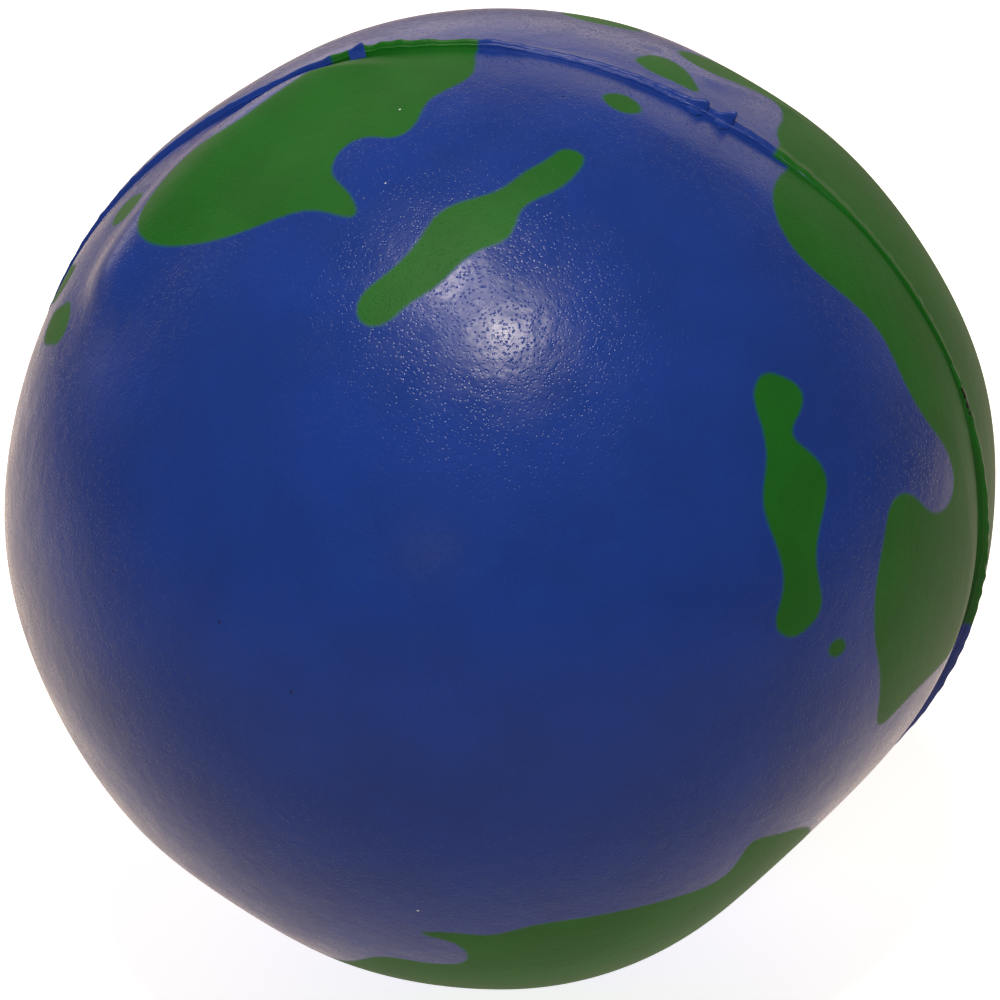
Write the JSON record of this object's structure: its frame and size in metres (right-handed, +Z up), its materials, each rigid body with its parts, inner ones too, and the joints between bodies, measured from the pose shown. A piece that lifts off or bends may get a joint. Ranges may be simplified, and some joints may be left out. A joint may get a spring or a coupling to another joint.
{
  "type": "stress ball",
  "caption": "Soft foam squeeze ball painted as a globe, with a moulded parting line and its torn flash; the front half presses back towards the other and springs out again.",
  "frame": {"origin": "centre of the ball", "axes": "+Y runs from the middle of the front mould half to the middle of the back half, square to the parting plane; +Z is up and +X is to the right seen from the front"},
  "size_m": [0.0716, 0.07, 0.0716],
  "materials": {
    "core_foam": "open-celled flexible polyurethane foam",
    "skin_foam": "dense moulded foam skin",
    "blue_coat": "satin flexible in-mould coat",
    "green_paint": "matte sprayed flexible paint",
    "seam_flash": "thin torn moulding flash under the coat"
  },
  "bodies": {
    "back_half": {"flash_tag_crown": "seam_flash", "flash_tag_shoulder": "seam_flash", "flash_tag_side": "seam_flash", "flash_tag_upper": "seam_flash", "foam_core": "core_foam", "land_crest_oval": "green_paint", "land_crown_islet": "green_paint", "land_east_back": "green_paint", "land_far_continent": "green_paint", "land_far_islet_high": "green_paint", "land_far_islet_low": "green_paint", "land_far_long_island": "green_paint", "land_far_peninsula": "green_paint", "parting_flash": "seam_flash", "sea_coat_back": "blue_coat", "skin_back": "skin_foam"},
    "front_half": {"skin_front": "skin_foam", "sea_coat_front": "blue_coat", "land_northwest": "green_paint", "land_diagonal_island": "green_paint", "land_oval_islet": "green_paint", "land_east_front": "green_paint", "land_long_island": "green_paint", "land_dot_islet": "green_paint", "land_south": "green_paint", "land_west_islet_low": "green_paint", "land_west_islet_high": "green_paint", "land_northwest_islet": "green_paint"}
  },
  "joints": [
    {"name": "squeeze", "type": "slide", "parent": "back_half", "child": "front_half", "axis": [0, 1, 0], "range_m": [0, 0.028], "stiffness_N_per_m": 1800, "deforming": ["flash_tag_crown", "flash_tag_shoulder", "flash_tag_side", "flash_tag_upper", "foam_core", "land_crest_oval", "land_crown_islet", "land_diagonal_island", "land_dot_islet", "land_east_back", "land_east_front", "land_far_continent", "land_far_islet_high", "land_far_islet_low", "land_far_long_island", "land_far_peninsula", "land_long_island", "land_northwest", "land_northwest_islet", "land_oval_islet", "land_south", "land_west_islet_high", "land_west_islet_low", "parting_flash", "sea_coat_back", "sea_coat_front", "skin_back", "skin_front"]}
  ]
}
